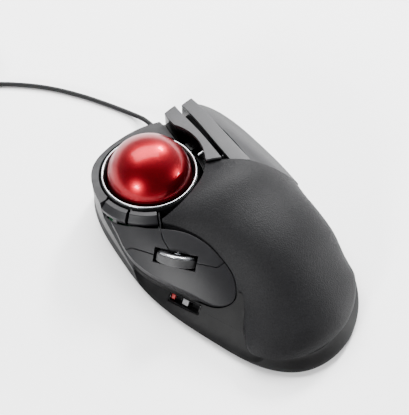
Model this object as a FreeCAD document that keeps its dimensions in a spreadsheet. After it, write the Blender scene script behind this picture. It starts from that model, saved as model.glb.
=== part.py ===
import FreeCAD, Part
import math
import os

from FreeCAD import Placement, Rotation, Vector

# Finger-operated trackball mouse for the right hand.
# Frame: +X right, +Y front (the end the cord leaves), +Z up.
# Origin: bottom centre of the mouse's bounding box, on the desk. Millimetres.

os.makedirs("parts", exist_ok=True)
doc = FreeCAD.newDocument("trackball_mouse")

# ---------------------------------------------------------------- driving dimensions

DIMENSIONS = {
    # the ball and the ring round it
    "ball_diameter": 52.0,
    "ball_x": -14.5,
    "ball_y": 58.5,
    "ball_z": 33.0,
    "ball_coat": 0.7,
    "ball_gap": 0.25,
    "lean_forward": 8.5,
    "lean_right": 4.8,
    "rim_height": 3.9,
    "rim_radius": 28.7,
    "rim_wire": 0.55,
    "collar_radius": 30.6,
    "groove_radius": 34.0,
    "cup_wall": 2.0,
    "bearing_diameter": 3.0,
    "bearing_below": 38.0,
    "eject_diameter": 24.0,
    # the casing
    "split_height": 12.5,
    "base_clear": 1.2,
    "wall": 2.2,
    "pad_skin": 1.8,
    "deck_height": 25.0,
    # the finger and thumb keys
    "key_gap": 0.5,
    "key_skin": 3.0,
    "key_travel": 0.6,
    "bar_cap": 1.8,
    "bar_depth": 22.0,
    "bar_pivot": 1.5,
    # the scroll wheel
    "wheel_diameter": 25.0,
    "wheel_width": 6.6,
    "tyre_depth": 1.6,
    "axle_diameter": 2.4,
    "axle_length": 13.0,
    "axle_fit": 0.06,
    # the pointer-speed slider
    "tray_length": 22.0,
    "tray_width": 7.0,
    "tray_depth": 5.0,
    "slider_travel": 2.0,
    # underneath
    "foot_diameter": 11.0,
    "foot_height": 1.2,
    "screw_head": 5.0,
    # the cord
    "cord_diameter": 3.2,
    "cord_length": 1500.0,
    "coil_mean": 35.0,
    "plug_length": 31.0,
    "plug_width": 15.0,
    "plug_height": 7.4,
    "usb_length": 14.0,
    "usb_width": 12.0,
    "usb_height": 4.5,
    "gland_radius": 3.0,
    # small parts
    "lens_radius": 3.4,
    "lens_height": 2.0,
    "board_thickness": 1.2,
    "plunger_diameter": 3.0,
    "screw_shank": 2.4,
}
sheet = doc.addObject("Spreadsheet::Sheet", "sheet")
for row, (alias, number) in enumerate(DIMENSIONS.items(), start=1):
    sheet.set(f"A{row}", alias)
    sheet.set(f"B{row}", str(number))
    sheet.setAlias(f"B{row}", alias)
doc.recompute()


def size(alias):
    """A driving dimension, read back from the sheet."""
    return float(sheet.get(alias))


# ---------------------------------------------------------------- making pieces

pieces = []


def piece(obj, label):
    """Marks an object as one of the mouse's pieces; its label names its file."""
    obj.Label = label
    pieces.append(obj)
    return obj


def shaped(label, shape):
    """A piece whose shape no primitive or sketch can give."""
    obj = doc.addObject("Part::Feature", label)
    obj.Shape = shape
    return piece(obj, label)


def primitive(kind, name, place=None, **bound):
    """A Part primitive with its sizes bound to the sheet."""
    obj = doc.addObject(f"Part::{kind}", name)
    for prop, text in bound.items():
        obj.setExpression(prop, text)
    obj.Placement = place or Placement()
    return obj


def cut(name, base, tool):
    obj = doc.addObject("Part::Cut", name)
    obj.Base = base
    obj.Tool = tool
    return obj


def fuse(name, shapes):
    obj = doc.addObject("Part::MultiFuse", name)
    obj.Shapes = shapes
    return obj


def group(name, shapes):
    """Like pieces kept as one node of separate solids."""
    obj = doc.addObject("Part::Compound", name)
    obj.Links = shapes
    return obj


def origin_plane(body, role):
    return next(f for f in body.Origin.OriginFeatures if f.Role == role)


def body_with_sketch(label, role="XY_Plane"):
    """A PartDesign body with one empty sketch on an origin plane."""
    body = doc.addObject("PartDesign::Body", label)
    sketch = body.newObject("Sketcher::SketchObject", label + "_sketch")
    sketch.AttachmentSupport = (origin_plane(body, role), [""])
    sketch.MapMode = "FlatFace"
    return piece(body, label), sketch


def closed_line(sketch, points):
    """Straight sketch edges through the points and back to the first."""
    corners = [Vector(x, y, 0) for x, y in points]
    for start, end in zip(corners, corners[1:] + corners[:1]):
        sketch.addGeometry(Part.LineSegment(start, end), False)


def one_solid(shape):
    """The largest solid of a boolean's result, so that stray slivers are dropped."""
    return max(shape.Solids, key=lambda s: s.Volume)


def prism(points, low, high):
    """Upright prism on a straight-sided outline."""
    corners = [Vector(x, y, low) for x, y in points]
    return Part.Face(Part.makePolygon(corners + corners[:1])).extrude(Vector(0, 0, high - low))


def smooth_wire(points, height):
    """Closed smooth outline through the points at one height."""
    curve = Part.BSplineCurve()
    curve.interpolate([Vector(x, y, height) for x, y in points], PeriodicFlag=True)
    return Part.Wire(curve.toShape())


def smooth_prism(points, low, high):
    return Part.Face(smooth_wire(points, low)).extrude(Vector(0, 0, high - low))


def inset(points, distances):
    """Moves each point of an anticlockwise outline inwards by its own distance."""
    moved = []
    count = len(points)
    for k, (x, y) in enumerate(points):
        ax, ay = points[k - 1]
        bx, by = points[(k + 1) % count]
        run = math.hypot(bx - ax, by - ay)
        step = distances[k] if isinstance(distances, list) else distances
        moved.append((x - step * (by - ay) / run, y + step * (bx - ax) / run))
    return moved


def skin(rows):
    """Smooth surface through a grid of points."""
    surface = Part.BSplineSurface()
    surface.interpolate([[Vector(*p) for p in row] for row in rows])
    return surface


def sunk(rows, depth):
    """The same grid moved square to itself, to the inside."""
    last_row, last_column = len(rows) - 1, len(rows[0]) - 1

    def square_at(i, j):
        along = Vector(*rows[i][min(j + 1, last_column)]) - Vector(*rows[i][max(j - 1, 0)])
        back = Vector(*rows[min(i + 1, last_row)][j]) - Vector(*rows[max(i - 1, 0)][j])
        square = along.cross(back)
        square.normalize()
        return square

    inward = -depth if square_at(last_row // 2, last_column // 2).z > 0 else depth
    result = []
    for i, row in enumerate(rows):
        moved = [Vector(*point) + square_at(i, j) * inward for j, point in enumerate(row)]
        result.append([(p.x, p.y, p.z) for p in moved])
    return result


def below(rows, reach=90):
    """Solid of everything under a surface."""
    return skin(rows).toShape().extrude(Vector(0, 0, -reach))


def above(rows, reach=90):
    return skin(rows).toShape().extrude(Vector(0, 0, reach))


# ---------------------------------------------------------------- the ball's own frame

ball_centre = Vector(size("ball_x"), size("ball_y"), size("ball_z"))
ball_radius = size("ball_diameter") / 2
ring_normal = Vector(
    math.sin(math.radians(size("lean_right"))), math.sin(math.radians(size("lean_forward"))), 1
)
ring_normal.normalize()
ring_turn = Rotation(Vector(0, 0, 1), ring_normal)


def at_ball(along=0.0):
    """Placement on the ring's axis, this far above the ball's centre."""
    return Placement(ball_centre + ring_normal * along, ring_turn)


def ring_cylinder(radius, low, high):
    place = at_ball(low)
    return Part.makeCylinder(radius, high - low, place.Base, ring_normal)


def ring_sector(inner, outer, low, high, start, end):
    """Block of an annulus in the ring's frame, between two headings in degrees."""
    outer_part = Part.makeCylinder(outer, high - low, Vector(0, 0, low), Vector(0, 0, 1), end - start)
    inner_part = Part.makeCylinder(inner, high - low + 2, Vector(0, 0, low - 1))
    block = outer_part.copy()
    block.rotate(Vector(), Vector(0, 0, 1), start)
    block = block.cut(inner_part)
    block.Placement = at_ball().multiply(block.Placement)
    return block


# ---------------------------------------------------------------- the casing's surfaces

# Plan of the base at its widest, anticlockwise from the rear.
BASE_PLAN = [
    (-5, -93), (20, -87), (38, -71), (49, -45), (54.5, -12), (57.5, 12), (59, 38), (58.5, 62),
    (52, 78), (34, 82), (12, 90), (-16, 93.3), (-38, 86.5), (-50, 68), (-56, 42), (-59.2, 14),
    (-57, -12), (-50, -42), (-40, -70), (-24, -87.5),
]
# How far the casing has drawn in at the seam between base and covers.
SEAM_INSET = [6.3, 6.5, 5, 4, 2.5, 1.2, 0.6, 0.6, 1, 1, 1, 1, 1, 1, 1, 0.5, 1, 2, 4, 6]

# Palm hump, rows from front to rear, each from the thumb side over the crown to the right.
PALM = [
    [(-38, 52, 12), (-36, 52, 30), (-27, 52, 41), (4, 50, 49), (33, 50, 43.5), (48, 50, 31), (55, 50, 12)],
    [(-36, 24, 12), (-34, 24, 29), (-25, 24, 41), (4, 24, 50.5), (33, 22, 45), (48, 20, 32.5), (57, 20, 12)],
    [(-31, 2, 12), (-29, 2, 28), (-20, 2, 40.5), (4, 2, 50.5), (33, 0, 43.5), (49, -2, 30), (55.5, -4, 12)],
    [(-28, -20, 12), (-25, -20, 27), (-16, -20, 38), (4, -21, 47), (31, -22, 41), (46, -24, 29), (51.5, -26, 12)],
    [(-32, -42, 12), (-27, -42, 23), (-17, -42, 32), (3, -43, 40.5), (26, -43, 36), (41, -43, 26), (47.3, -43, 12)],
    [(-39, -54, 12), (-32, -57, 20.5), (-18, -60, 26.5), (1, -62, 31.5), (21, -60, 29), (36, -57, 21.5), (43.5, -54, 12)],
    [(-42, -61, 12), (-33, -68.5, 17), (-18, -74.5, 21.5), (1, -77.5, 23.5), (19, -74.5, 22), (34, -68, 17), (41, -61.5, 12)],
    [(-41, -67, 11), (-32, -77, 11), (-18, -84.3, 11), (0, -87, 11), (17.5, -83.7, 11), (30, -75.5, 11), (38, -67.5, 11)],
]
# Thumb side below the keys: the ledge and the hollow over it, rows from front to rear, outside in.
LEDGE = [
    [(-64, 40, 25), (-58, 40, 25), (-52, 40, 27), (-38, 40, 36)],
    [(-64, 26, 17), (-58, 26, 17), (-52, 26, 19), (-38, 26, 30)],
    [(-65, 16, 5), (-57.5, 16, 5.8), (-50.5, 15, 10), (-40, 12, 26)],
    [(-65, 0, 3.6), (-56, 0, 5), (-49.2, -1, 10.8), (-37, -4, 25)],
    [(-62, -18, 3.6), (-53.5, -18, 5.2), (-46.4, -19, 12), (-31, -22, 25.5)],
    [(-58, -36, 3.6), (-49, -36, 5.2), (-41, -37, 12), (-23, -39, 26)],
    [(-53, -56, 3.4), (-43.5, -56, 5), (-38, -56, 9.5), (-24, -56, 22)],
    [(-50, -68, 3.6), (-41, -68, 7), (-35, -68, 12), (-22, -67, 22)],
    [(-48, -84, 16), (-38, -84, 17), (-32, -82, 19), (-20, -80, 24)],
]
# Face of the thumb keys, rows from front to rear, each from the upper edge down.
THUMB = [
    [(-36, 66, 44), (-50, 60, 34), (-61, 55, 20), (-71, 50, 5)],
    [(-33, 42, 43.5), (-48, 36, 34), (-60, 29, 18.5), (-70, 23, 3)],
    [(-24, 22, 43.5), (-42, 13, 33), (-56, 5, 17), (-66, -1, 2)],
    [(-14, -2, 41.5), (-33, -9, 31.5), (-47, -17, 16.5), (-57, -23, 2)],
    [(-9, -22, 36), (-27, -28, 25.5), (-39, -34, 14), (-49, -39, 1)],
    [(-6, -38, 30), (-22, -44, 19), (-33, -48, 9), (-43, -53, -3)],
]
THUMB_PLAN = [
    (-54.3, 40), (-55.8, 21), (-51, 2.5), (-42.5, -18.5), (-35.2, -31), (-29.5, -33.2), (-24, -28.5),
    (-21.3, -17), (-22.3, -4), (-27.2, 11), (-36.8, 24.3), (-46.4, 40), (-50.6, 56),
]
# Wing to the right of the finger bars, rows from front to rear, from the ridge outwards.
WING = [
    [(41.5, 82, 33.5), (46, 81.5, 29), (52, 80.5, 22.5), (62, 79, 13)],
    [(40.8, 62, 35.5), (46, 62, 31), (53, 62, 23.5), (63, 62, 13)],
    [(38.8, 42, 38), (44.5, 42, 34), (53, 41, 25), (63, 40, 13)],
    [(35.5, 22, 40), (43, 20, 36), (52, 18, 26.5), (62, 16, 13)],
    [(33, 2, 41), (41, -1, 37), (50, -4, 27.5), (60, -8, 13)],
]
# Edge of the palm hump towards the finger bars and the wing.
PALM_FRONT = [(4, 44), (11.8, 37.6), (20.8, 31.6), (32.8, 20.2), (41.5, 11.2), (50, 1.2), (64, -14)]

# Tops of the two finger bars: (left x, right x, y, z) from the front to the rear.
BAR_ONE = [
    (20.6, 29.3, 85.2, 37.6), (17.6, 26.6, 67, 41.2), (16.2, 24.8, 53.5, 43.4), (13.2, 21.6, 37.5, 46.6),
    (11.6, 20.0, 27, 48.4),
]
BAR_TWO = [
    (33, 41.3, 83.2, 36.6), (31, 39.6, 66, 39.6), (28.6, 37.5, 52.5, 41.6), (24.6, 34.4, 28, 44.4),
    (22.4, 32.6, 15, 45.2),
]

split = size("split_height")
wall = size("wall")
gap = size("key_gap")

seam_plan = inset(BASE_PLAN, SEAM_INSET)
casing = smooth_prism(seam_plan, split, 70)
palm_region = prism(PALM_FRONT + [(64, -100), (-70, -100), (-70, 44)], split, 70)
thumb_region = smooth_prism(THUMB_PLAN, 4, 70)
thumb_room = smooth_prism(inset(THUMB_PLAN, -gap), 4, 70)
groove = ring_cylinder(size("groove_radius"), -30, 30)
fn_room = ring_sector(20, 40.5, -30, 30, 176, 242)

# ---------------------------------------------------------------- the palm hump


def palm_layer(depth):
    """The hump, sunk by a depth, inside the palm's own part of the plan."""
    solid = below(sunk(PALM, depth) if depth else PALM).common(palm_region)
    for tool in (groove, thumb_room, fn_room):
        solid = solid.cut(tool)
    return solid


palm_pad = one_solid(palm_layer(0).cut(below(sunk(PALM, size("pad_skin")))))
palm_hollow = below(sunk(PALM, size("pad_skin") + wall)).common(
    prism([(x, y - wall) for x, y in PALM_FRONT] + [(64, -100), (-70, -100), (-70, 40)], split, 70)
)
palm_hollow = palm_hollow.cut(ring_cylinder(size("groove_radius") + wall, -30, 30))
palm_frame = one_solid(palm_layer(size("pad_skin") + 0.05).cut(palm_hollow))

# ---------------------------------------------------------------- base and thumb side

levels = [
    smooth_wire(inset(BASE_PLAN, 1.6), size("base_clear")),
    smooth_wire(BASE_PLAN, 4.2),
    smooth_wire(inset(BASE_PLAN, [0.55 * d for d in SEAM_INSET]), 8.5),
    smooth_wire(seam_plan, split),
]
base_block = Part.makeLoft(levels, True, False)
base_inner = Part.makeLoft(
    [
        smooth_wire(inset(BASE_PLAN, 1.6 + wall), size("base_clear") + wall),
        smooth_wire(inset(BASE_PLAN, wall), 5.4),
        smooth_wire(inset(BASE_PLAN, [0.55 * d + wall for d in SEAM_INSET]), 8.5),
        smooth_wire(inset(BASE_PLAN, [d + wall for d in SEAM_INSET]), split + 1),
    ],
    True,
    False,
)
over_ledge = above(LEDGE)
ledge_inside = above(sunk(LEDGE, wall))
thumb_side = prism([(-70, 70), (-70, -100), (-18, -100), (-18, 70)], -5, 70)
base_outer = base_block.cut(over_ledge)
base_void = base_inner.cut(ledge_inside)
base_shell = one_solid(base_outer.cut(base_void))
eject = Part.makeCylinder(size("eject_diameter") / 2, 20, Vector(size("ball_x"), size("ball_y"), -5))
base_shell = base_shell.cut(eject)

# Side wall over the ledge, on the thumb side, up to the underside of the thumb keys.
keys_depth = size("key_skin")
frame_top = keys_depth + size("key_travel") + 0.3
over_frame = above(sunk(THUMB, frame_top))
thumb_wall = below(LEDGE).common(casing).common(thumb_side)
over_keys = over_frame.common(smooth_prism(inset(THUMB_PLAN, -1.0), -20, 90))
thumb_wall = thumb_wall.cut(below(sunk(PALM, -0.1))).cut(over_keys)

ledge_face = skin(LEDGE)
tray_plumb = Part.makeLine(Vector(-48.9, -11.4, 0), Vector(-48.9, -11.4, 60))
tray_spot = ledge_face.toShape().distToShape(tray_plumb)[1][0][0]
tray_out = ledge_face.normal(*ledge_face.parameter(tray_spot))
if tray_out.z < 0:
    tray_out = tray_out.negative()
tray_along = Vector(9.4, -19.8, 0)
tray_along = tray_along - tray_out * tray_along.dot(tray_out)
tray_along.normalize()
tray_up = tray_out.cross(tray_along)
tray_turn = Rotation(tray_along, tray_up, tray_out, "XZY")


def at_tray(x=0.0, y=0.0, z=0.0):
    """Placement in the slider tray: x along it, y up the slope, z out of the ledge."""
    return Placement(tray_spot + tray_along * x + tray_up * y + tray_out * z, tray_turn)


def tray_box(length, width, low, high, x=0.0, y=0.0):
    block = Part.makeBox(length, width, high - low, Vector(x - length / 2, y - width / 2, low))
    block.Placement = at_tray().multiply(block.Placement)
    return block


tray_pocket = tray_box(size("tray_length") + 0.3, size("tray_width") + 0.3, -size("tray_depth") - 0.1, 8)
tray_pocket = tray_pocket.fuse(tray_box(11.4, 5.4, -size("tray_depth") - 4, 0))
thumb_wall = thumb_wall.cut(tray_pocket)
base_shell = one_solid(base_shell.cut(tray_pocket))

# Posts for the circuit board and for the screws that hold the two halves together.
BOARD_POSTS = [(-14, -46), (34, -46), (-14, 6), (34, 6)]
CASE_SCREWS = [(-30, -58), (30, -62), (46, 26), (-38, 34), (24, 74)]
floor_top = size("base_clear") + wall
post_radius, screw_radius, head_radius = 3.2, 1.3, size("screw_head") / 2
for x, y in BOARD_POSTS:
    base_shell = base_shell.fuse(Part.makeCylinder(post_radius, 3.2, Vector(x, y, floor_top - 0.6)))
for x, y in CASE_SCREWS:
    base_shell = base_shell.fuse(Part.makeCylinder(post_radius, 7.6, Vector(x, y, floor_top - 0.6)))
    base_shell = base_shell.cut(Part.makeCylinder(screw_radius, 20, Vector(x, y, 0)))
    base_shell = base_shell.cut(Part.makeCylinder(head_radius + 0.3, 1.6, Vector(x, y, size("base_clear") - 0.2)))
cord_exit = Vector(21.5, 99, 6.6)
gland_hole = Part.makeCylinder(3.05, 14, Vector(cord_exit.x, cord_exit.y - 22, cord_exit.z), Vector(0, 1, 0))
base_shell = base_shell.cut(gland_hole).removeSplitter()
shaped("base_shell", base_shell)

# ---------------------------------------------------------------- front and wing

top_plane = Part.makeBox(300, 300, 60, Vector(-150, -150, 0))
top_plane.Placement = at_ball(size("rim_height") - 0.6).multiply(top_plane.Placement)
top_inside = Part.makeBox(300, 300, 60, Vector(-150, -150, 0))
top_inside.Placement = at_ball(size("rim_height") - 0.6 - wall).multiply(top_inside.Placement)
flange_radius = 32.2
front_plan = [
    (17.6, 100), (17.3, 80), (14.8, 69), (-14.5, 58.5), (-29.8, 31), (-37, 21), (-45, 14), (-70, 14),
    (-70, 100),
]
front_outer = casing.common(prism(front_plan, split, 70)).cut(top_plane)
front_outer = front_outer.cut(over_frame).cut(over_ledge)
casing_inner = smooth_prism(inset(seam_plan, wall), split - 1, 70)
front_inner_plan = [(17.6 - wall, 100), (17.3 - wall, 10), (-80, 10), (-80, 100)]
front_void = casing_inner.common(prism(front_inner_plan, split - 1, 70)).cut(top_inside)
front_void = front_void.cut(above(sunk(THUMB, frame_top + wall))).cut(ledge_inside)
front_cover = front_outer.cut(front_void)
front_cover = front_cover.cut(ring_cylinder(size("collar_radius") + 0.3, -40, 30))
front_cover = front_cover.cut(ring_sector(20, 60, -5.2, 30, 178, 239))
front_cover = front_cover.cut(ring_cylinder(flange_radius + 0.4, -11.2, -8.2))
front_cover = front_cover.cut(ring_sector(32, 35.8, -10.6, -4, 182, 236))
thumb_wall = thumb_wall.cut(prism(front_plan, split - 1, 70))

finger_plan = [(14.6, 100), (14.6, 70), (11, 38), (33.2, 20.6), (35.4, 35), (38.3, 51), (40.8, 66), (42.4, 100)]
deck_top = size("deck_height")
deck = casing.common(prism(finger_plan, split, deck_top))
deck = deck.cut(prism(front_plan, split - 1, 70)).cut(palm_region)
deck = deck.cut(ring_cylinder(size("groove_radius") - 0.2, -30, 30))
deck_void = casing_inner.common(prism(inset(finger_plan, wall), split - 1, deck_top - wall))
shaped("finger_deck", one_solid(deck.cut(deck_void)))

wing_plan = [(42.9, 100), (42.2, 82), (41.2, 66), (39, 52.5), (36, 36), (33.8, 20.8)]
wing_plan += [(x + 0.3, y + 0.3) for x, y in PALM_FRONT[3:]] + [(80, 0), (80, 100)]
wing = casing.common(prism(wing_plan, split, 70)).common(below(WING))
wing_void = casing_inner.common(below(sunk(WING, wall)))
wing_void = wing_void.common(prism(inset(wing_plan, wall), split - 1, 70))
shaped("right_wing", one_solid(wing.cut(wing_void)))

# ---------------------------------------------------------------- finger bars


def bar_rows(stations, side=0.0, sink=0.0):
    """Grid of a bar's top: its two edges drawn in by side, the whole sunk by sink."""
    rows = []
    for left, right, y, z in stations:
        middle = (left + right) / 2
        rows.append([(left + side, y, z - sink), (middle, y, z + 0.35 - sink), (right - side, y, z - sink)])
    return rows


def bar_layer(stations, side, sink, depth):
    layer = below(bar_rows(stations, side, sink), depth).cut(prism_behind_palm)
    layer = layer.cut(Part.makeBox(200, 200, 60, Vector(-100, -100, deck_top + lever_clear - 60)))
    return one_solid(layer.cut(ring_cylinder(size("groove_radius") + 0.4, -40, 40)))


prism_behind_palm = prism(
    [(x + 0.35, y + 0.35) for x, y in PALM_FRONT] + [(64, -100), (-70, -100), (-70, 44)], 0, 80
)
cap = size("bar_cap")
lever_clear, switch_height, switch_side, pocket_roof = 1.2, 3.6, 6.0, 6.2
SWITCH_Y = {"right_button": 60.5, "fn3_button": 59.0}


def bar_middle(stations, y):
    """Middle of a bar's width at one y."""
    ahead = [p for p in stations if p[2] > y][-1]
    behind = [p for p in stations if p[2] <= y][0]
    share = (y - behind[2]) / (ahead[2] - behind[2])
    left, right = [b + (a - b) * share for a, b in zip(ahead[:2], behind[:2])]
    return (left + right) / 2


for label, stations in (("right_button", BAR_ONE), ("fn3_button", BAR_TWO)):
    shaped(label + "_cap", bar_layer(stations, 0, 0, cap))
    lever = bar_layer(stations, 0.25, cap, size("bar_depth"))
    rear_left, rear_right, rear_y, rear_z = stations[-2]
    pivot = Vector(rear_left + 1.4, rear_y + 9, rear_z - 7)
    lever = lever.cut(Part.makeCylinder(size("bar_pivot") / 2 + 0.05, 30, pivot - Vector(9, 0, 0), Vector(1, 0, 0)))
    pocket = Part.makeBox(switch_side + 1, switch_side + 1.6, pocket_roof, Vector(
        bar_middle(stations, SWITCH_Y[label]) - switch_side / 2 - 0.5, SWITCH_Y[label] - switch_side / 2 - 0.8, deck_top))
    shaped(label + "_lever", one_solid(lever.cut(pocket)))
    pin = primitive(
        "Cylinder", label + "_pin", Placement(pivot, Rotation(Vector(0, 0, 1), Vector(1, 0, 0))),
        Radius="sheet.bar_pivot / 2", Height="sheet.bar_pivot * 4.6",
    )
    piece(pin, label + "_pin")

# ---------------------------------------------------------------- keys left of the ball

fn_profile = [(31.2, -4.4), (36.9, -4.4), (37.4, -1.0), (34.6, 2.2), (34.2, 2.9), (31.2, 3.2)]
for label, start, end in (("fn1_key", 179.5, 207.0), ("fn2_key", 209.6, 237.6)):
    corners = [Vector(r, 0, z) for r, z in fn_profile]
    face = Part.Face(Part.makePolygon(corners + corners[:1]))
    face.rotate(Vector(), Vector(0, 0, 1), start)
    key = face.revolve(Vector(), Vector(0, 0, 1), end - start)
    key.Placement = at_ball()
    shaped(label, key)

# ---------------------------------------------------------------- the wheel's own frame

thumb_face = skin(THUMB)
spot_x, spot_y = -40.6, 5.6
plumb = Part.makeLine(Vector(spot_x, spot_y, 0), Vector(spot_x, spot_y, 60))
wheel_spot = thumb_face.toShape().distToShape(plumb)[1][0][0]
wheel_out = thumb_face.normal(*thumb_face.parameter(wheel_spot))
if wheel_out.z < 0:
    wheel_out = wheel_out.negative()
wheel_along = Vector(0.571, -0.82, 0)
wheel_along = wheel_along - wheel_out * wheel_along.dot(wheel_out)
wheel_along.normalize()
wheel_up = wheel_out.cross(wheel_along)
wheel_turn = Rotation(wheel_along, wheel_up, wheel_out, "XZY")


def at_wheel(x=0.0, y=0.0, z=0.0, turn=Rotation()):
    """Placement at the wheel: x along its slot, y along its axle, z out of the keys' face."""
    spot = wheel_spot + wheel_along * x + wheel_up * y + wheel_out * z
    return Placement(spot, wheel_turn.multiply(turn))


def wheel_box(length, width, low, high, y=0.0):
    block = Part.makeBox(length, width, high - low, Vector(-length / 2, y - width / 2, low))
    block.Placement = at_wheel().multiply(block.Placement)
    return block


# ---------------------------------------------------------------- thumb keys

island = below(THUMB).common(thumb_region).cut(below(sunk(THUMB, keys_depth)))
island = one_solid(island.cut(ring_cylinder(38.2, -40, 30)))
slot_length, slot_width = 26.5, size("wheel_width") + 2.6
slot = wheel_box(slot_length, slot_width, -30, 12)
island = island.cut(slot)


def seam_cut(points, width=0.5, low=0, high=70):
    """Upright slit of one width along a line of points."""
    slits = []
    for (ax, ay), (bx, by) in zip(points, points[1:]):
        run = math.hypot(bx - ax, by - ay)
        ox, oy = -(by - ay) / run * width / 2, (bx - ax) / run * width / 2
        corners = [(ax + ox, ay + oy), (bx + ox, by + oy), (bx - ox, by - oy), (ax - ox, ay - oy)]
        slits.append(prism(corners, low, high))
    return slits[0].multiFuse(slits[1:]) if len(slits) > 1 else slits[0]


SEAMS = [
    [(-60, 36), (-53.3, 30.4), (-47.4, 17.5), (-44, 12)],
    [(-33, 28.5), (-36.6, 22.6), (-38.6, 18.2), (-40.3, 8)],
    [(-34.6, -3.6), (-26, -15.2), (-18, -17)],
]
for points in SEAMS:
    island = island.cut(seam_cut(points, gap))
islands = sorted([s for s in island.Solids if s.Volume > 60], key=lambda s: s.CenterOfMass.z)
for label, solid in zip(("left_button", "forward_button", "back_button"), islands):
    shaped(label, solid)

thumb_frame = below(sunk(THUMB, frame_top)).cut(below(sunk(THUMB, frame_top + 2.4)))
thumb_frame = thumb_frame.common(smooth_prism(inset(THUMB_PLAN, -0.35), 4, 70))
thumb_frame = thumb_frame.cut(below(sunk(LEDGE, -0.2))).cut(ring_cylinder(38.6, -40, 30))
thumb_frame = one_solid(thumb_frame.cut(wheel_box(slot_length + 4, 19, -30, 12)).cut(front_outer))

# ---------------------------------------------------------------- scroll wheel

wheel_radius = size("wheel_diameter") / 2
wheel_sink = wheel_radius - 6.2
axle_turn = Rotation(Vector(0, 0, 1), Vector(0, 1, 0))
half_width = size("wheel_width") / 2
rim_width = 1.7


def lathe(label, profile, place):
    """A PartDesign body turned about its own Y axis from a closed profile of (radius, height)."""
    body, sketch = body_with_sketch(label)
    closed_line(sketch, profile)
    turning = body.newObject("PartDesign::Revolution", label + "_turning")
    turning.Profile = sketch
    turning.ReferenceAxis = (sketch, ["V_Axis"])
    turning.Angle = 360
    body.Placement = place
    return body


tyre_low, tyre_high = -half_width, half_width - rim_width
tyre_inner = wheel_radius - size("tyre_depth")
lathe(
    "wheel_tyre",
    [(tyre_inner, tyre_low), (wheel_radius - 0.4, tyre_low), (wheel_radius, tyre_low + 0.5),
     (wheel_radius, tyre_high - 0.3), (wheel_radius - 0.3, tyre_high), (tyre_inner, tyre_high)],
    at_wheel(0, 0, -wheel_sink),
)
axle_radius = size("axle_diameter") / 2
lathe(
    "wheel_hub",
    [(axle_radius, -2.0), (3.2, -2.0), (3.2, -0.8), (tyre_inner - 1.6, -0.8), (tyre_inner - 1.6, tyre_low),
     (tyre_inner, tyre_low), (tyre_inner, tyre_high), (wheel_radius - 0.5, tyre_high),
     (wheel_radius - 0.1, tyre_high + 0.5), (wheel_radius - 0.5, tyre_high + 1.3),
     (wheel_radius - 1.6, half_width), (tyre_inner - 2.2, half_width), (tyre_inner - 2.6, half_width - 0.8),
     (3.2, half_width - 0.8), (3.2, half_width), (axle_radius, half_width)],
    at_wheel(0, 0, -wheel_sink),
)
axle = primitive(
    "Cylinder", "wheel_axle", at_wheel(0, -size("axle_length") / 2, -wheel_sink, Rotation(Vector(1, 0, 0), -90)),
    Radius="sheet.axle_diameter / 2", Height="sheet.axle_length",
)
piece(axle, "wheel_axle")

cheek_y, cheek_width = half_width + 1.5, 1.8
yoke_low = -wheel_sink - wheel_radius - 3.0
yoke = wheel_box(9, 2 * cheek_y + 2 * cheek_width - 1.8, yoke_low, yoke_low + 2.2)
for side in (-1, 1):
    yoke = yoke.fuse(wheel_box(7, cheek_width, yoke_low, -wheel_sink + 1.9, side * (cheek_y + cheek_width / 2 - 0.9)))
bore = Part.makeCylinder(axle_radius + size("axle_fit"), 20, Vector(0, -10, -wheel_sink), Vector(0, 1, 0))
bore.Placement = at_wheel().multiply(bore.Placement)
yoke = yoke.cut(bore)
pivot_z = yoke_low - 0.2
pivot = Part.makeCylinder(1.0, 15, Vector(-7.5, 0, pivot_z + 1.2), Vector(1, 0, 0))
pivot.Placement = at_wheel().multiply(pivot.Placement)
yoke = yoke.fuse(pivot)
shaped("wheel_cradle", yoke.removeSplitter())

carriage = wheel_box(15, 7, yoke_low - 3.4, yoke_low - 1.6)
for side in (-1, 1):
    ear = Part.makeBox(1.8, 5, 6.4, Vector(side * 6.4 - 0.9, -2.5, yoke_low - 3.4))
    ear.Placement = at_wheel().multiply(ear.Placement)
    carriage = carriage.fuse(ear)
seat = Part.makeCylinder(1.06, 20, Vector(-10, 0, pivot_z + 1.2), Vector(1, 0, 0))
seat.Placement = at_wheel().multiply(seat.Placement)
shaped("wheel_carriage", carriage.cut(seat).removeSplitter())

# ---------------------------------------------------------------- ball, ring and cup

core = primitive("Sphere", "core", Placement(ball_centre, Rotation()), Radius="sheet.ball_diameter / 2 - sheet.ball_coat - 0.2")
piece(core, "ball_core")
coat_outer = primitive("Sphere", "coat_outer", Placement(ball_centre, Rotation()), Radius="sheet.ball_diameter / 2")
coat_inner = primitive(
    "Sphere", "coat_inner", Placement(ball_centre, Rotation()),
    Radius="sheet.ball_diameter / 2 - sheet.ball_coat",
)
piece(cut("coat", coat_outer, coat_inner), "ball_coat")

rim = primitive(
    "Torus", "rim", at_ball(size("rim_height")), Radius1="sheet.rim_radius", Radius2="sheet.rim_wire",
)
piece(rim, "ball_rim")
rim_top = size("rim_height") - size("rim_wire") - 0.02
collar_radius = size("collar_radius")
lathe(
    "ball_collar",
    [(26.6, 1.4), (28.0, rim_top), (29.5, rim_top), (collar_radius, rim_top - 1.2), (collar_radius, -7.5),
     (flange_radius, -8.6), (flange_radius, -10.6), (28.2, -10.6), (28.2, -4.0), (26.8, -1.0)],
    Placement(at_ball().Base, at_ball().Rotation.multiply(Rotation(Vector(1, 0, 0), 90))),
)
cup_inner = ball_radius + 1.2
cup_outer = cup_inner + size("cup_wall")
cup = Part.makeSphere(cup_outer, ball_centre).cut(Part.makeSphere(cup_inner, ball_centre))
cup = cup.cut(ring_cylinder(60, -10.7, 60))
cup = cup.cut(Part.makeCylinder(size("eject_diameter") / 2, 30, Vector(ball_centre.x, ball_centre.y, -10)))
bead_radius = size("bearing_diameter") / 2
bead_reach = ball_radius + size("ball_gap") + bead_radius
beads = []
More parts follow.
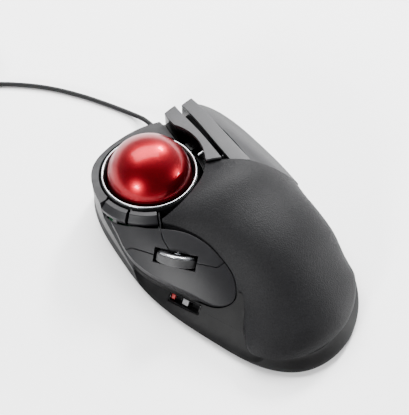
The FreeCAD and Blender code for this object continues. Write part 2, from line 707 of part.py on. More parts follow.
for heading in (100, 220, 340):
    down, round_ = math.radians(size("bearing_below")), math.radians(heading)
    way = Vector(math.cos(round_) * math.cos(down), math.sin(round_) * math.cos(down), -math.sin(down))
    bead = primitive("Sphere", f"bead_{heading}", Placement(ball_centre + way * bead_reach, Rotation()),
                     Radius="sheet.bearing_diameter / 2")
    beads.append(bead)
    cup = cup.cut(Part.makeSphere(bead_radius, ball_centre + way * bead_reach))
lens_way = Vector(0.45, -0.62, -0.64)
lens_way.normalize()
lens_place = Placement(ball_centre + lens_way * (cup_inner + 0.2), Rotation(Vector(0, 0, 1), lens_way))
lens_hole = Part.makeCylinder(3.6, 10, lens_place.Base - lens_way * 4, lens_way)
cup = one_solid(cup.cut(lens_hole))
shaped("ball_cup", cup)
piece(group("beads", beads), "cup_bearings")

# ---------------------------------------------------------------- sensor and circuit boards

lens = primitive("Cylinder", "lens", lens_place, Radius="sheet.lens_radius", Height="sheet.lens_height")
piece(lens, "sensor_lens")
board_turn = Rotation(Vector(0, 0, 1), lens_way)
sensor_base = ball_centre + lens_way * (cup_outer + 3.0)
sensor_board = primitive(
    "Box", "sensor_card", Placement(sensor_base - board_turn.multVec(Vector(7, 6, 0)), board_turn),
    Length="14 mm", Width="12 mm", Height="sheet.board_thickness",
)
piece(sensor_board, "sensor_board")
sensor_chip = primitive(
    "Box", "sensor_chip", Placement(sensor_base - board_turn.multVec(Vector(4, 4, 2.0)), board_turn),
    Length="8 mm", Width="8 mm", Height="2 mm",
)
piece(sensor_chip, "sensor_chip")
main_board, board_sketch = body_with_sketch("main_board")
closed_line(board_sketch, [(-20, -52), (40, -52), (40, 12), (8, 12), (4, 20), (-20, 20)])
board_pad = main_board.newObject("PartDesign::Pad", "main_board_sheet")
board_pad.Profile = board_sketch
board_pad.setExpression("Length", "sheet.board_thickness")
main_board.Placement = Placement(Vector(0, 0, floor_top + 2.6), Rotation())

# ---------------------------------------------------------------- switches under the keys

plunger_radius = 1.5
switch_bodies, switch_rooms = [], []


def add_switch(label, place, reach, side=switch_side):
    """A switch whose top is at the place, and its plunger reaching up to the key above it."""
    body = Part.makeBox(side, side, switch_height, Vector(-side / 2, -side / 2, -switch_height))
    body = body.cut(Part.makeCylinder(plunger_radius * side / 6 + 0.07 * side, 3, Vector(0, 0, -2.4)))
    body.Placement = place
    room = Part.makeBox(side + 0.4, side + 0.4, switch_height + 0.6, Vector(-side / 2 - 0.2, -side / 2 - 0.2,
                                                                           -switch_height - 0.3))
    room = room.fuse(Part.makeCylinder(plunger_radius * side / 6 + 0.3, reach + 1))
    room.Placement = place
    switch_rooms.append(room)
    holder = doc.addObject("Part::Feature", "switch_" + label)
    holder.Shape = body
    switch_bodies.append(holder)
    plunger = primitive("Cylinder", "plunger_" + label, place.multiply(Placement(Vector(0, 0, -1.4), Rotation())))
    plunger.setExpression("Radius", f"sheet.plunger_diameter / 2 * {side} / 6")
    plunger.Height = reach + 1.4
    return piece(plunger, label + "_plunger")


for label, stations in (("right", BAR_ONE), ("fn3", BAR_TWO)):
    switch_y = SWITCH_Y[label + "_button"]
    spot = Vector(bar_middle(stations, switch_y), switch_y, deck_top + switch_height)
    add_switch(label, Placement(spot, Rotation()), pocket_roof - switch_height)
for label, heading in (("fn1", 193.0), ("fn2", 223.5)):
    place = at_ball().multiply(Placement(Vector(), Rotation(Vector(0, 0, 1), heading)))
    place = place.multiply(Placement(Vector(34.1, 0, -5.4), Rotation()))
    add_switch(label, place, 1.0, 3.0)
fn_board = ring_sector(32.8, 35.2, -10.0, -9.0, 184, 234).common(casing_inner).cut(below(sunk(LEDGE, -0.2)))
KEY_SPOTS = {"forward": (-44.0, 26.5), "back": (-28.5, -1.0), "left": (-41.5, -11.5)}
for label, (x, y) in KEY_SPOTS.items():
    plumb = Part.makeLine(Vector(x, y, 0), Vector(x, y, 60))
    spot = thumb_face.toShape().distToShape(plumb)[1][0][0]
    out = thumb_face.normal(*thumb_face.parameter(spot))
    out = out.negative() if out.z < 0 else out
    turn = Rotation(Vector(0, 0, 1), out)
    add_switch(label, Placement(spot - out * (frame_top + 2.5), turn), frame_top + 2.5 - keys_depth, 4.0)
    thumb_frame = thumb_frame.cut(Part.makeCylinder(1.4, 12, spot - out * 12, out))
piece(group("switches", switch_bodies), "key_switches")
shaped("fn_board", one_solid(fn_board))

# ---------------------------------------------------------------- wheel bracket and encoder

encoder_y = -(cheek_y + cheek_width + 0.75)
encoder = wheel_box(8, 3, -wheel_sink - 6.4, -wheel_sink + 1.6, encoder_y)
encoder = encoder.cut(bore)
shaped("wheel_encoder", encoder)
bracket = wheel_box(16, 8, yoke_low - 6.2, yoke_low - 4.6)
foot_spot = at_wheel(0, 0, yoke_low - 5.4).Base
bracket_post = Part.makeCylinder(3.0, foot_spot.z - floor_top, Vector(foot_spot.x, foot_spot.y, floor_top))
bracket_post = bracket_post.cut(wheel_box(20, 20, yoke_low - 4.6, yoke_low))
shaped("wheel_bracket", bracket.fuse(bracket_post).removeSplitter())

# ---------------------------------------------------------------- casing fitted round the works

works = [wheel_box(slot_length + 1.4, slot_width, -31, 12), wheel_box(19, 20, yoke_low - 7, -wheel_sink + 3.4)]
works += switch_rooms
shaped("thumb_frame", one_solid(thumb_frame.cut(wheel_box(9.4, 5, -30, 12, encoder_y))))
for label, shape in (("front_cover", front_cover), ("thumb_shell", thumb_wall), ("palm_frame", palm_frame),
                     ("palm_pad", palm_pad)):
    near = [room for room in works if room.BoundBox.intersect(shape.BoundBox)]
    fitted = shape.cut(near)
    print(label, [round(s.Volume) for s in fitted.Solids])
    shaped(label, one_solid(fitted))

# ---------------------------------------------------------------- pointer-speed slider

tray_length, tray_width, tray_depth = size("tray_length"), size("tray_width"), size("tray_depth")
tray_outer = primitive(
    "Box", "tray_outer", at_tray(-tray_length / 2, -tray_width / 2, -tray_depth),
    Length="sheet.tray_length", Width="sheet.tray_width", Height="sheet.tray_depth - 0.4",
)
tray_inner = primitive(
    "Box", "tray_inner", at_tray(1 - tray_length / 2, 1 - tray_width / 2, 1.2 - tray_depth),
    Length="sheet.tray_length - 2", Width="sheet.tray_width - 2", Height="sheet.tray_depth",
)
tray_slot = primitive(
    "Box", "tray_slot", at_tray(-4.2, -1.0, -tray_depth - 1), Length="8.4 mm", Width="2 mm", Height="6 mm",
)
speed_tray = cut("speed_tray_cut", cut("speed_tray_open", tray_outer, tray_inner), tray_slot)
piece(speed_tray, "speed_tray")
knob = tray_box(4.0, 3.6, 1.4 - tray_depth, 3.2 - tray_depth)
stem = tray_box(2.6, 1.4, -tray_depth - 1.6, 1.5 - tray_depth)
shaped("speed_slider", knob.fuse(stem).removeSplitter())
speed_switch = tray_box(11, 5, -tray_depth - 3.8, -tray_depth - 0.1)
speed_switch = speed_switch.cut(tray_box(8.6, 2.2, -tray_depth - 2.2, -tray_depth + 1))
shaped("speed_switch", speed_switch)
shaped("speed_mark", tray_box(2.4, 3.0, 1.2 - tray_depth, 3.4 - tray_depth, 2.4 - tray_length / 2))

# ---------------------------------------------------------------- feet and screws

FEET = [(-24, -72), (24, -72), (49, 44), (-43, 50), (-47, -20)]
feet = []
for x, y in FEET:
    foot = primitive("Cylinder", f"foot_{len(feet)}", Placement(Vector(x, y, 0), Rotation()),
                     Radius="sheet.foot_diameter / 2", Height="sheet.foot_height")
    feet.append(foot)
piece(group("feet", feet), "rubber_feet")
case_screws = []
for x, y in CASE_SCREWS:
    shank = primitive("Cylinder", f"shank_{x}", Placement(Vector(x, y, size("base_clear") + 1.2), Rotation()),
                      Radius="sheet.screw_shank / 2", Height="7 mm")
    head = primitive("Cylinder", f"head_{x}", Placement(Vector(x, y, size("base_clear") + 0.2), Rotation()),
                     Radius="sheet.screw_head / 2", Height="1.1 mm")
    case_screws.append(fuse(f"case_screw_{x}", [shank, head]))
piece(group("case_screw_group", case_screws), "case_screws")

# ---------------------------------------------------------------- cord

cord_radius = size("cord_diameter") / 2
coil_centre = Vector(-66, 208, 0)
CORD_ROUTE = [
    (21.5, 99, 6.6), (21.6, 107, 6.0), (20.4, 116, 2.6), (16.6, 127, 1.6), (10.2, 141.5, 1.6),
    (2.6, 156.5, 1.6), (-8.4, 174.5, 1.6), (-23.0, 191.5, 1.6), (-39.5, 206.5, 1.6), (-53.2, 223.6, 1.6),
]
TAIL_ROUTE = [(-66, 228.7, 11.2), (-76, 228.9, 10.2), (-87, 230.2, 5.4), (-97, 230.6, 3.8)]


def cord_tube(points):
    """Straight runs joined by tangent arcs, as a round tube. Prints the arcs' radii."""
    corners = [Vector(*p) for p in points]
    edges, radii, here = [], [], corners[0]
    for before, corner, after in zip(corners, corners[1:], corners[2:]):
        back, ahead = (before - corner), (after - corner)
        reach = 0.45 * min(back.Length, ahead.Length)
        half_turn = (math.pi - back.getAngle(ahead)) / 2
        radius = reach / math.tan(half_turn)
        radii.append(round(radius, 1))
        back.normalize()
        ahead.normalize()
        start, end = corner + back * reach, corner + ahead * reach
        middle_way = back + ahead
        middle_way.normalize()
        middle = corner + middle_way * radius * (1 / math.cos(half_turn) - 1)
        edges.append(Part.LineSegment(here, start).toShape())
        edges.append(Part.Arc(start, middle, end).toShape())
        here = end
    edges.append(Part.LineSegment(here, corners[-1]).toShape())
    path = Part.Wire(edges)
    first = corners[1] - corners[0]
    ring = Part.Wire(Part.makeCircle(cord_radius, corners[0], first))
    tube = path.makePipeShell([ring], True, False)
    print("cord radii", radii, "length", round(path.Length, 1),
          "volume ratio", round(tube.Volume / (path.Length * math.pi * cord_radius ** 2), 4))
    return tube, path.Length


run_tube, run_length = cord_tube(CORD_ROUTE)
tail_tube, tail_length = cord_tube(TAIL_ROUTE)
coil_mean, diameter = size("coil_mean") / 2, size("cord_diameter")
coil_half, coil_height = 1.5 * diameter, 4 * diameter
bevel = 0.5 * diameter
coil_profile = [
    (coil_mean - coil_half, bevel), (coil_mean - coil_half + bevel, 0), (coil_mean + coil_half - bevel, 0),
    (coil_mean + coil_half, bevel), (coil_mean + coil_half, coil_height - bevel),
    (coil_mean + coil_half - bevel, coil_height), (coil_mean - coil_half + bevel, coil_height),
    (coil_mean - coil_half, coil_height - bevel),
]
coil_corners = [Vector(r, 0, z) for r, z in coil_profile]
coil = Part.Face(Part.makePolygon(coil_corners + coil_corners[:1])).revolve(Vector(), Vector(0, 0, 1), 360)
coil.translate(coil_centre)
tie_place = coil_centre + Vector(0, -coil_mean, 0)
tie_outer = Part.makeBox(7, 2 * coil_half + 1.2, coil_height, tie_place - Vector(3.5, coil_half + 0.6, 0))
tie_inner = Part.makeBox(9, 2 * coil_half - 0.4, coil_height - 1.2, tie_place - Vector(4.5, coil_half - 0.2, -0.6))
cord_tie = tie_outer.cut(tie_inner)
coil = one_solid(coil.cut(cord_tie))
cord_run = shaped("cord_run", one_solid(run_tube.cut(coil)))
gland_root = primitive(
    "Cylinder", "gland_root", Placement(cord_exit - Vector(0, 17.5, 0), Rotation(Vector(1, 0, 0), -90)),
    Radius="sheet.gland_radius", Height="6 mm",
)
gland_taper = primitive(
    "Cone", "gland_taper", Placement(cord_exit - Vector(0, 12, 0), Rotation(Vector(1, 0, 0), -90)),
    Radius1="sheet.gland_radius", Radius2="sheet.cord_diameter / 2 + 0.5", Height="12 mm",
)
piece(cut("gland_bored", fuse("gland", [gland_root, gland_taper]), cord_run), "cord_gland")
shaped("cord_coil", coil)
cord_tail = shaped("cord_tail", one_solid(tail_tube.cut(coil)))
shaped("cord_tie", cord_tie)
turns = 12
print("cord length", run_length + tail_length + turns * 2 * math.pi * coil_mean)

plug_end = Vector(*TAIL_ROUTE[-1])
plug_turn = Rotation(Vector(0, 0, 1), Vector(-1, 0, 0))
relief = primitive("Cone", "plug_relief", Placement(plug_end, plug_turn), Radius1="sheet.cord_diameter / 2 + 0.6",
                   Radius2="3.4 mm", Height="9 mm")
grip = primitive(
    "Box", "plug_grip", Placement(plug_end + Vector(-9 - size("plug_length") + 9, -size("plug_width") / 2,
                                                    -size("plug_height") / 2), Rotation()),
    Length="sheet.plug_length - 9", Width="sheet.plug_width", Height="sheet.plug_height",
)
piece(cut("plug_bored", fuse("plug_body", [relief, grip]), cord_tail), "usb_grip")
usb_outer = primitive(
    "Box", "usb_outer", Placement(plug_end + Vector(-size("plug_length") - size("usb_length"), -size("usb_width") / 2,
                                                    -size("usb_height") / 2), Rotation()),
    Length="sheet.usb_length", Width="sheet.usb_width", Height="sheet.usb_height",
)
usb_inner = primitive(
    "Box", "usb_inner", Placement(plug_end + Vector(-size("plug_length") - size("usb_length") - 1,
                                                    -size("usb_width") / 2 + 0.4, -size("usb_height") / 2 + 0.4),
                                  Rotation()),
    Length="sheet.usb_length", Width="sheet.usb_width - 0.8", Height="sheet.usb_height - 0.8",
)
piece(cut("usb_shell_cut", usb_outer, usb_inner), "usb_shell")
tongue = primitive(
    "Box", "tongue", Placement(plug_end + Vector(-size("plug_length") - size("usb_length") + 0.6,
                                                 -size("usb_width") / 2 + 0.45, -size("usb_height") / 2 + 0.45),
                               Rotation()),
    Length="sheet.usb_length - 1.6", Width="sheet.usb_width - 0.9", Height="1.8 mm",
)
piece(tongue, "usb_tongue")

# ---------------------------------------------------------------- checks and files

doc.recompute()
for obj in doc.Objects:
    if {"Invalid", "Error"} & set(obj.State):
        raise RuntimeError(f"{obj.Label} failed: {obj.State}")
for obj in pieces:
    if obj.Shape.isNull() or not obj.Shape.isValid():
        raise RuntimeError(f"{obj.Label} has no valid shape")
for obj in pieces:
    obj.Shape.exportStep(f"parts/{obj.Label}.step")
    print(obj.Label, len(obj.Shape.Solids), round(obj.Shape.Volume / 1000, 3))
print(len(pieces), "pieces")
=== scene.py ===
import math

import bmesh
import bpy
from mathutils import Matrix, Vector


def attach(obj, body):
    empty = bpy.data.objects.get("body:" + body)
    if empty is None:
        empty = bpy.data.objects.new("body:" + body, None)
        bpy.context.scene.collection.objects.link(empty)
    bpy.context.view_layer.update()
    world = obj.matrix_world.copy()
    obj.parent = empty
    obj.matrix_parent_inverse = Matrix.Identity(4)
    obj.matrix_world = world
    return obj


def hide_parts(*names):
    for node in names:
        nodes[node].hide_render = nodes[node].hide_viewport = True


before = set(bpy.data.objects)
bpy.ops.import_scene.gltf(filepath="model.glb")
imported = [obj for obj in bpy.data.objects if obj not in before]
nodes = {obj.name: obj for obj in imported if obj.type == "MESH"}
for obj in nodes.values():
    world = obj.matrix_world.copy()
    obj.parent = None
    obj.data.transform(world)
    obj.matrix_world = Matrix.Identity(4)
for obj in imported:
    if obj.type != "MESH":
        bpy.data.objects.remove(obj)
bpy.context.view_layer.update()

# Camera, table and studio.
# The trackball stands on a sheet of white paper under soft boxes, in a room that is brighter
# beyond its front. It is seen from above and behind, over the thumb side.
scene = bpy.context.scene
camera_data = bpy.data.cameras.new("camera")
camera_data.lens = 85.3
camera_data.sensor_width = 36
camera_data.clip_start, camera_data.clip_end = 0.01, 20
camera = bpy.data.objects.new("camera", camera_data)
scene.collection.objects.link(camera)
camera.location = (-0.20175, -0.19935, 0.54285)
camera.rotation_euler = Vector((0.33457, 0.37157, -0.86603)).to_track_quat("-Z", "Y").to_euler()
scene.camera = camera

world = bpy.data.worlds.new("studio_air")
scene.world = world
world.use_nodes = True
air = world.node_tree
outward = air.nodes.new("ShaderNodeTexCoord")
towards_wall = air.nodes.new("ShaderNodeVectorMath")
towards_wall.operation = "DOT_PRODUCT"
towards_wall.inputs[1].default_value = (0.62, 0.72, 0.31)
air.links.new(outward.outputs["Generated"], towards_wall.inputs[0])
brightness = air.nodes.new("ShaderNodeMapRange")
brightness.interpolation_type = "SMOOTHSTEP"
air.links.new(towards_wall.outputs["Value"], brightness.inputs["Value"])
for label, number in (("From Min", -0.1), ("From Max", 0.95), ("To Min", 0.1), ("To Max", 1.1)):
    brightness.inputs[label].default_value = number
air.links.new(brightness.outputs["Result"], air.nodes["Background"].inputs["Strength"])
air.nodes["Background"].inputs["Color"].default_value = (0.96, 0.97, 1.0, 1)

table_mesh = bmesh.new()
bmesh.ops.create_grid(table_mesh, x_segments=2, y_segments=2, size=3)
table_data = bpy.data.meshes.new("table")
table_mesh.to_mesh(table_data)
table_mesh.free()
table = bpy.data.objects.new("table", table_data)
scene.collection.objects.link(table)
white = bpy.data.materials.new("white_paper")
white.use_nodes = True
white.node_tree.nodes["Principled BSDF"].inputs["Base Color"].default_value = (0.98, 0.98, 0.98, 1)
white.node_tree.nodes["Principled BSDF"].inputs["Roughness"].default_value = 0.9
table_data.materials.append(white)


MIDDLE = (-0.01, 0.05, 0.03)


def soft_box(name, place, target, width, height, power):
    """A rectangular lamp at a place, facing its target."""
    data = bpy.data.lights.new(name, "AREA")
    data.shape = "RECTANGLE"
    data.size, data.size_y = width, height
    data.energy = power
    box = bpy.data.objects.new(name, data)
    scene.collection.objects.link(box)
    box.location = place
    box.rotation_euler = (Vector(target) - Vector(place)).to_track_quat("-Z", "Y").to_euler()


soft_box("front_box", (1.05, 0.46, 0.80), MIDDLE, 0.22, 0.22, 34)
soft_box("left_box", (-1.22, -0.27, 0.50), MIDDLE, 0.2, 0.2, 24)
soft_box("right_box", (0.95, -0.85, 0.12), (-0.01, 0.05, 0.05), 0.2, 0.2, 22)
soft_box("top_box", (0.45, 0.95, 1.5), (0, 0, 0), 2.0, 1.2, 125)

# Cord, coil and strain relief.
# A round black jacketed lead leaves the front under the finger bars, curves over the table to the
# left, and is wound up and tied as it came from the box, its plug lying beside the coil.
CORD_SIZE = 0.0032
ROUTE = [
    (0.0215, 0.099, 0.0066), (0.0216, 0.107, 0.0060), (0.0204, 0.116, 0.0026), (0.0166, 0.127, 0.0016),
    (0.0102, 0.1415, 0.0016), (0.0026, 0.1565, 0.0016), (-0.0084, 0.1745, 0.0016), (-0.0230, 0.1915, 0.0016),
    (-0.0395, 0.2065, 0.0016),
]
COIL_MIDDLE = (-0.066, 0.208)
COIL_RINGS = [0.0207, 0.0175, 0.0143, 0.0143, 0.0175, 0.0207] * 2
COIL_START, COIL_END, COIL_STEP, TURN_POINTS = 52, 38, 22.5, 16
RINGS_PER_LAYER = 3
CHANGE_FROM = 0.75
points = list(ROUTE)
last_point = round((len(COIL_RINGS) * 360 + COIL_END) / COIL_STEP)
for step in range(last_point + 1):
    turn = step / TURN_POINTS
    ring = min(int(turn), len(COIL_RINGS) - 1)
    following = min(ring + 1, len(COIL_RINGS) - 1)
    late = max(0.0, (turn - ring - CHANGE_FROM) / (1 - CHANGE_FROM)) if turn < len(COIL_RINGS) else 0.0
    ease = late * late * (3 - 2 * late)
    radius = COIL_RINGS[ring] + (COIL_RINGS[following] - COIL_RINGS[ring]) * ease
    low, high = ring // RINGS_PER_LAYER, following // RINGS_PER_LAYER
    height = CORD_SIZE * (0.5 + low + (high - low) * ease)
    radius /= math.cos(math.radians(COIL_STEP / 2)) ** 0.5
    heading = math.radians(COIL_START + COIL_STEP * step)
    across, along = radius * math.cos(heading), radius * math.sin(heading)
    points.append((COIL_MIDDLE[0] + across, COIL_MIDDLE[1] + along, height))
points += [(-0.076, 0.2289, 0.0102), (-0.087, 0.2302, 0.0054), (-0.097, 0.2306, 0.0038)]
cord_data = bpy.data.curves.new("cord", "CURVE")
cord_data.dimensions = "3D"
cord_data.bevel_depth = 1
cord_data.bevel_resolution = 3
cord_data.resolution_u = 5
cord_data.use_fill_caps = True
spline = cord_data.splines.new("NURBS")
spline.points.add(len(points) - 1)
for point, spot in zip(spline.points, points):
    point.co, point.radius = (*spot, 1), CORD_SIZE / 2
spline.order_u = 3
spline.use_endpoint_u = True
cord = bpy.data.objects.new("cord", cord_data)
scene.collection.objects.link(cord)
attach(cord, "base")
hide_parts("cord_run", "cord_coil", "cord_tail")


def new_group(name, inputs, outputs):
    """A shader node group with float or colour sockets, and its two end nodes."""
    tree = bpy.data.node_groups.new(name, "ShaderNodeTree")
    for direction, sockets in (("INPUT", inputs), ("OUTPUT", outputs)):
        for label, kind in sockets:
            tree.interface.new_socket(name=label, in_out=direction, socket_type=kind)
    return tree, tree.nodes.new("NodeGroupInput"), tree.nodes.new("NodeGroupOutput")


def maths(tree, operation, first, second):
    """One sum of two sockets or numbers."""
    node = tree.nodes.new("ShaderNodeMath")
    node.operation = operation
    for slot_, value in zip(node.inputs, (first, second)):
        if isinstance(value, (int, float)):
            slot_.default_value = value
        else:
            tree.links.new(value, slot_)
    return node.outputs[0]


def spread(tree, value, low, high, to_low=0.0, to_high=1.0):
    """A value stretched from one range to another and held inside it."""
    node = tree.nodes.new("ShaderNodeMapRange")
    tree.links.new(value, node.inputs["Value"])
    for label, number in (("From Min", low), ("From Max", high), ("To Min", to_low), ("To Max", to_high)):
        node.inputs[label].default_value = number
    return node.outputs["Result"]


# Moulded grain: fine bumps of spark-eroded tooling, with a slow unevenness over a hand's width.
grain, grain_in, grain_out = new_group(
    "moulded_grain", [("Grain per metre", "NodeSocketFloat"), ("Slow per metre", "NodeSocketFloat")],
    [("Height", "NodeSocketFloat"), ("Sparkle", "NodeSocketFloat"), ("Slow", "NodeSocketFloat")],
)
place = grain.nodes.new("ShaderNodeTexCoord")
fine = grain.nodes.new("ShaderNodeTexNoise")
fine.inputs["Detail"].default_value = 2
grain.links.new(place.outputs["Object"], fine.inputs["Vector"])
grain.links.new(grain_in.outputs["Grain per metre"], fine.inputs["Scale"])
cells = grain.nodes.new("ShaderNodeTexVoronoi")
grain.links.new(place.outputs["Object"], cells.inputs["Vector"])
grain.links.new(grain_in.outputs["Grain per metre"], cells.inputs["Scale"])
slow = grain.nodes.new("ShaderNodeTexNoise")
slow.inputs["Detail"].default_value = 3
grain.links.new(place.outputs["Object"], slow.inputs["Vector"])
grain.links.new(grain_in.outputs["Slow per metre"], slow.inputs["Scale"])
height = maths(grain, "ADD", fine.outputs["Fac"], cells.outputs["Distance"])
grain.links.new(height, grain_out.inputs["Height"])
grain.links.new(spread(grain, fine.outputs["Fac"], 0.3, 0.7), grain_out.inputs["Sparkle"])
grain.links.new(spread(grain, slow.outputs["Fac"], 0.3, 0.7), grain_out.inputs["Slow"])

# Handling wear: edges and ridges rubbed a little lighter and smoother.
wear, wear_in, wear_out = new_group(
    "edge_wear", [("Amount", "NodeSocketFloat")], [("Mask", "NodeSocketFloat")],
)
shape = wear.nodes.new("ShaderNodeNewGeometry")
patches = wear.nodes.new("ShaderNodeTexNoise")
patches.inputs["Scale"].default_value = 220
wear_place = wear.nodes.new("ShaderNodeTexCoord")
wear.links.new(wear_place.outputs["Object"], patches.inputs["Vector"])
ridge = spread(wear, shape.outputs["Pointiness"], 0.52, 0.62)
ridge = maths(wear, "MULTIPLY", ridge, spread(wear, patches.outputs["Fac"], 0.35, 0.6))
wear.links.new(maths(wear, "MULTIPLY", ridge, wear_in.outputs["Amount"]), wear_out.inputs["Mask"])

# Dust: a thin pale film on faces that look up, thicker in soft patches.
dust, dust_in, dust_out = new_group(
    "settled_dust", [("Amount", "NodeSocketFloat")], [("Mask", "NodeSocketFloat")],
)
facing = dust.nodes.new("ShaderNodeNewGeometry")
lift = dust.nodes.new("ShaderNodeSeparateXYZ")
dust.links.new(facing.outputs["Normal"], lift.inputs["Vector"])
clouds = dust.nodes.new("ShaderNodeTexNoise")
clouds.inputs["Scale"].default_value = 90
clouds.inputs["Detail"].default_value = 4
dust_place = dust.nodes.new("ShaderNodeTexCoord")
dust.links.new(dust_place.outputs["Object"], clouds.inputs["Vector"])
level = spread(dust, lift.outputs["Z"], 0.2, 1.0)
film = maths(dust, "MULTIPLY", level, spread(dust, clouds.outputs["Fac"], 0.4, 0.7))
dust.links.new(maths(dust, "MULTIPLY", film, dust_in.outputs["Amount"]), dust_out.inputs["Mask"])


def finish(name, colour, roughness, grain_scale=2600, bump=0.1, sparkle=0.15, worn=0.15, dusty=0.04,
           **sockets):
    """A plastic, rubber or metal: its colour, its grain, its worn edges and the dust on it.

    The other names are sockets of the shader, with an underscore for each space.
    """
    material = bpy.data.materials.new(name)
    material.use_nodes = True
    tree = material.node_tree
    shader = tree.nodes["Principled BSDF"]
    for label, value in sockets.items():
        shader.inputs[label.replace("_", " ")].default_value = value

    def placed(group, **values):
        node = tree.nodes.new("ShaderNodeGroup")
        node.node_tree = group
        for label, value in values.items():
            node.inputs[label.replace("_", " ")].default_value = value
        return node

    def toned(under, over, mask):
        node = tree.nodes.new("ShaderNodeMix")
        node.data_type = "RGBA"
        tree.links.new(mask, node.inputs["Factor"])
        for slot_, value in ((node.inputs["A"], under), (node.inputs["B"], over)):
            if isinstance(value, tuple):
                slot_.default_value = (*value, 1)
            else:
                tree.links.new(value, slot_)
        return node.outputs["Result"]

    surface = placed(grain, Grain_per_metre=grain_scale, Slow_per_metre=35)
    edges, film_ = placed(wear, Amount=worn), placed(dust, Amount=dusty)
    dark = tuple(c * (1 - sparkle) for c in colour)
    light = tuple(min(1.0, c * (1 + sparkle) + 0.002) for c in colour)
    tone = toned(dark, light, surface.outputs["Sparkle"])
    tone = toned(tone, tuple(min(1.0, c * 1.6 + 0.03) for c in colour), edges.outputs["Mask"])
    tone = toned(tone, (0.42, 0.41, 0.4), film_.outputs["Mask"])
    tree.links.new(tone, shader.inputs["Base Color"])
    uneven = spread(tree, surface.outputs["Slow"], 0, 1, roughness - 0.015, roughness + 0.015)
    tree.links.new(maths(tree, "SUBTRACT", uneven, maths(tree, "MULTIPLY", edges.outputs["Mask"], 0.12)),
                   shader.inputs["Roughness"])
    relief = tree.nodes.new("ShaderNodeBump")
    relief.inputs["Strength"].default_value = bump
    relief.inputs["Distance"].default_value = 0.0002
    tree.links.new(surface.outputs["Height"], relief.inputs["Height"])
    tree.links.new(relief.outputs["Normal"], shader.inputs["Normal"])
    return material


def coat(names, material):
    """Gives each named moulding one material all over."""
    for name in names.split():
        mesh = nodes[name].data
        mesh.materials.clear()
        mesh.materials.append(material)


def soften(names, radius, angle=32, segments=3):
    """Merges a moulding's loose triangles, rounds its edges and shades it smooth."""
    for name in names.split():
        part = nodes[name]
        weld = part.modifiers.new("weld", "WELD")
        weld.merge_threshold = 0.00001
        if radius:
            edge = part.modifiers.new("edge", "BEVEL")
            edge.width = radius
            edge.segments = segments
            edge.limit_method = "ANGLE"
            edge.angle_limit = math.radians(angle)
            edge.profile = 0.5
            edge.use_clamp_overlap = True
            edge.harden_normals = False
        part.data.shade_smooth()
        fair = part.modifiers.new("fair", "WEIGHTED_NORMAL")
        fair.keep_sharp = False
        fair.weight = 80


cord_black = finish("cord_black", (0.004, 0.004, 0.0045), 0.5, 3000, 0.08, 0.1, 0.05, 0.0,
                    Specular_IOR_Level=0.15)
cord_data.materials.append(cord_black)
coat("cord_gland cord_tie usb_grip", cord_black)
soften("cord_gland cord_tie usb_grip", 0.0005)
nickel = finish("nickel_shell", (0.62, 0.62, 0.63), 0.28, 900, 0.03, 0.05, 0.1, 0.0, Metallic=1.0)
coat("usb_shell", nickel)
soften("usb_shell", 0.00025)
plug_plastic = finish("plug_plastic", (0.02, 0.02, 0.025), 0.4)
coat("usb_tongue", plug_plastic)
soften("usb_tongue", 0.0001)

# Base tray, side walls and front.
# The lower casing is moulded in black matte plastic; the front cover and thumb side are
# separate mouldings that meet it in a thin seam.
casing = finish("casing_black", (0.002, 0.002, 0.0022), 0.55, 2400, 0.12, 0.15, 0.15, 0.01,
                Specular_IOR_Level=0.12)
coat("base_shell palm_frame thumb_shell thumb_frame wheel_bracket wheel_carriage wheel_cradle ball_cup", casing)
soften("base_shell thumb_shell", 0.0006)
soften("palm_frame thumb_frame wheel_bracket wheel_carriage wheel_cradle ball_cup", 0.0002)
slate = finish("slate_plastic", (0.007, 0.007, 0.008), 0.45, 2600, 0.12, 0.14, 0.2, 0.006,
               Specular_IOR_Level=0.2)
coat("front_cover", slate)
soften("front_cover", 0.0008)

# Palm hump.
# A shell of plastic under a soft-touch coat, dark grey and matt with a fine even grain.
soft_pad = finish("soft_pad", (0.005, 0.005, 0.0056), 0.55, 1250, 0.6, 0.25, 0.2, 0.002,
                  Specular_IOR_Level=0.12)
coat("palm_pad", soft_pad)
soften("palm_pad", 0.0007)

# Finger bars, wing and deck.
# Two long finger keys in sparkling satin grey stand on black levers over a black deck; the wing
# beside them is the same plastic down to the desk, but gets a darker, less shiny copy of the satin as painted
# shade.
wing_satin_painted_shade = finish("wing_satin_painted_shade", (0.016, 0.016, 0.0175), 0.5, 2400, 0.15, 0.2, 0.3, 0.005,
                    Specular_IOR_Level=0.16)
satin = finish("satin_plastic", (0.03, 0.03, 0.032), 0.45, 2400, 0.18, 0.3, 0.2, 0.01,
               Specular_IOR_Level=0.26)
coat("right_button_cap fn3_button_cap", satin)
# The wing's satin is a darker copy of the bars' satin: painted shade.
coat("right_wing", wing_satin_painted_shade)
soften("right_button_cap fn3_button_cap", 0.0006)
soften("right_wing", 0.0008)
gloss = finish("black_gloss", (0.0012, 0.0012, 0.0014), 0.2, 1800, 0.03, 0.1, 0.1, 0.0,
               Specular_IOR_Level=0.2)
coat("finger_deck right_button_lever fn3_button_lever ball_collar speed_tray", gloss)
soften("finger_deck right_button_lever fn3_button_lever ball_collar", 0.0004)
soften("speed_tray", 0.0002)

# Thumb keys and the two small keys beside the ball.
# Slate keys with narrow seams, moulded hollow and sprung on small switches.
coat("left_button back_button forward_button fn1_key fn2_key", slate)
soften("left_button back_button forward_button", 0.0013)
soften("fn1_key fn2_key", 0.0004)

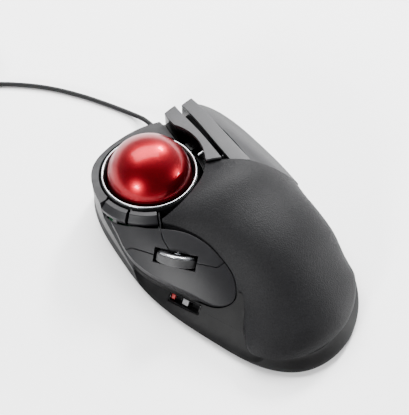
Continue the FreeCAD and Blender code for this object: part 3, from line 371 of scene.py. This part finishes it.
# Ball and its ring.
# A pearl red ball under a thick clear coat, rolling on three ruby beads inside a plated ring.
ball_red = finish("ball_red", (0.2, 0.0004, 0.006), 0.33, 2800, 0.02, 0.3, 0.0, 0.0, Metallic=0.9,
                  Coat_Weight=0.14, Coat_Roughness=0.03)
coat("ball_core ball_coat", ball_red)
for name in ("ball_core", "ball_coat"):
    soften(name, 0)
plated = finish("plated_ring", (0.4, 0.41, 0.43), 0.25, 900, 0.02, 0.04, 0.0, 0.02, Metallic=1.0)
coat("ball_rim wheel_hub", plated)
soften("ball_rim", 0)
soften("wheel_hub", 0.0003)
ruby = finish("ruby", (0.4, 0.008, 0.04), 0.08, 900, 0.0, 0.05, 0.0, 0.0)
coat("cup_bearings", ruby)
soften("cup_bearings", 0)

# Scroll wheel.
# A rubber tyre is pushed over a plated hub, whose bright rim shows beside it on the ball's side.
# The hub turns on a steel axle between the two cheeks of a tilting cradle.
tyre = finish("tyre_rubber", (0.02, 0.02, 0.021), 0.6, 3000, 0.2, 0.15, 0.1, 0.03)
coat("wheel_tyre", tyre)
soften("wheel_tyre", 0.0003)

# Slider for the pointer's speed.
# A pale knob of moulded plastic slides in a sunk black tray, and a red insert is pressed into one
# end of the tray.
slider_white = finish("slider_white", (0.16, 0.16, 0.165), 0.35)
coat("speed_slider", slider_white)
soften("speed_slider", 0.0003)
red_mark = finish("red_mark", (0.22, 0.003, 0.003), 0.35)
coat("speed_mark", red_mark)
soften("speed_mark", 0.0002)

# Works inside.
# Steel pins and screws, black moulded switches and plungers, and green circuit boards stand on
# the base inside the casing; the sensor looks at the ball through a clear lens in its cup.
steel = finish("steel", (0.5, 0.5, 0.51), 0.35, 1200, 0.05, 0.05, 0.1, 0.0, Metallic=1.0)
coat("right_button_pin fn3_button_pin case_screws wheel_axle", steel)
soften("right_button_pin fn3_button_pin case_screws wheel_axle", 0.0001)
chip = finish("chip_black", (0.02, 0.02, 0.02), 0.45)
SWITCH_PARTS = """sensor_chip key_switches wheel_encoder speed_switch right_plunger fn3_plunger
fn1_plunger fn2_plunger forward_plunger back_plunger left_plunger"""
coat(SWITCH_PARTS, chip)
soften(SWITCH_PARTS, 0.0001)
board = finish("circuit_board", (0.012, 0.09, 0.035), 0.35)
coat("sensor_board main_board fn_board", board)
soften("sensor_board main_board fn_board", 0.0001)
lens = finish("clear_lens", (0.8, 0.82, 0.85), 0.1, 900, 0.0, 0.02, 0.0, 0.0, Coat_Weight=1.0)
coat("sensor_lens", lens)
soften("sensor_lens", 0.0002)

# Feet.
# Five round discs of soft black rubber are punched from sheet and glued to the underside, so that
# the tray stands just clear of the desk.
foot_rubber = finish("foot_rubber", (0.03, 0.03, 0.03), 0.7, 2600, 0.2)
coat("rubber_feet", foot_rubber)
soften("rubber_feet", 0.0003)
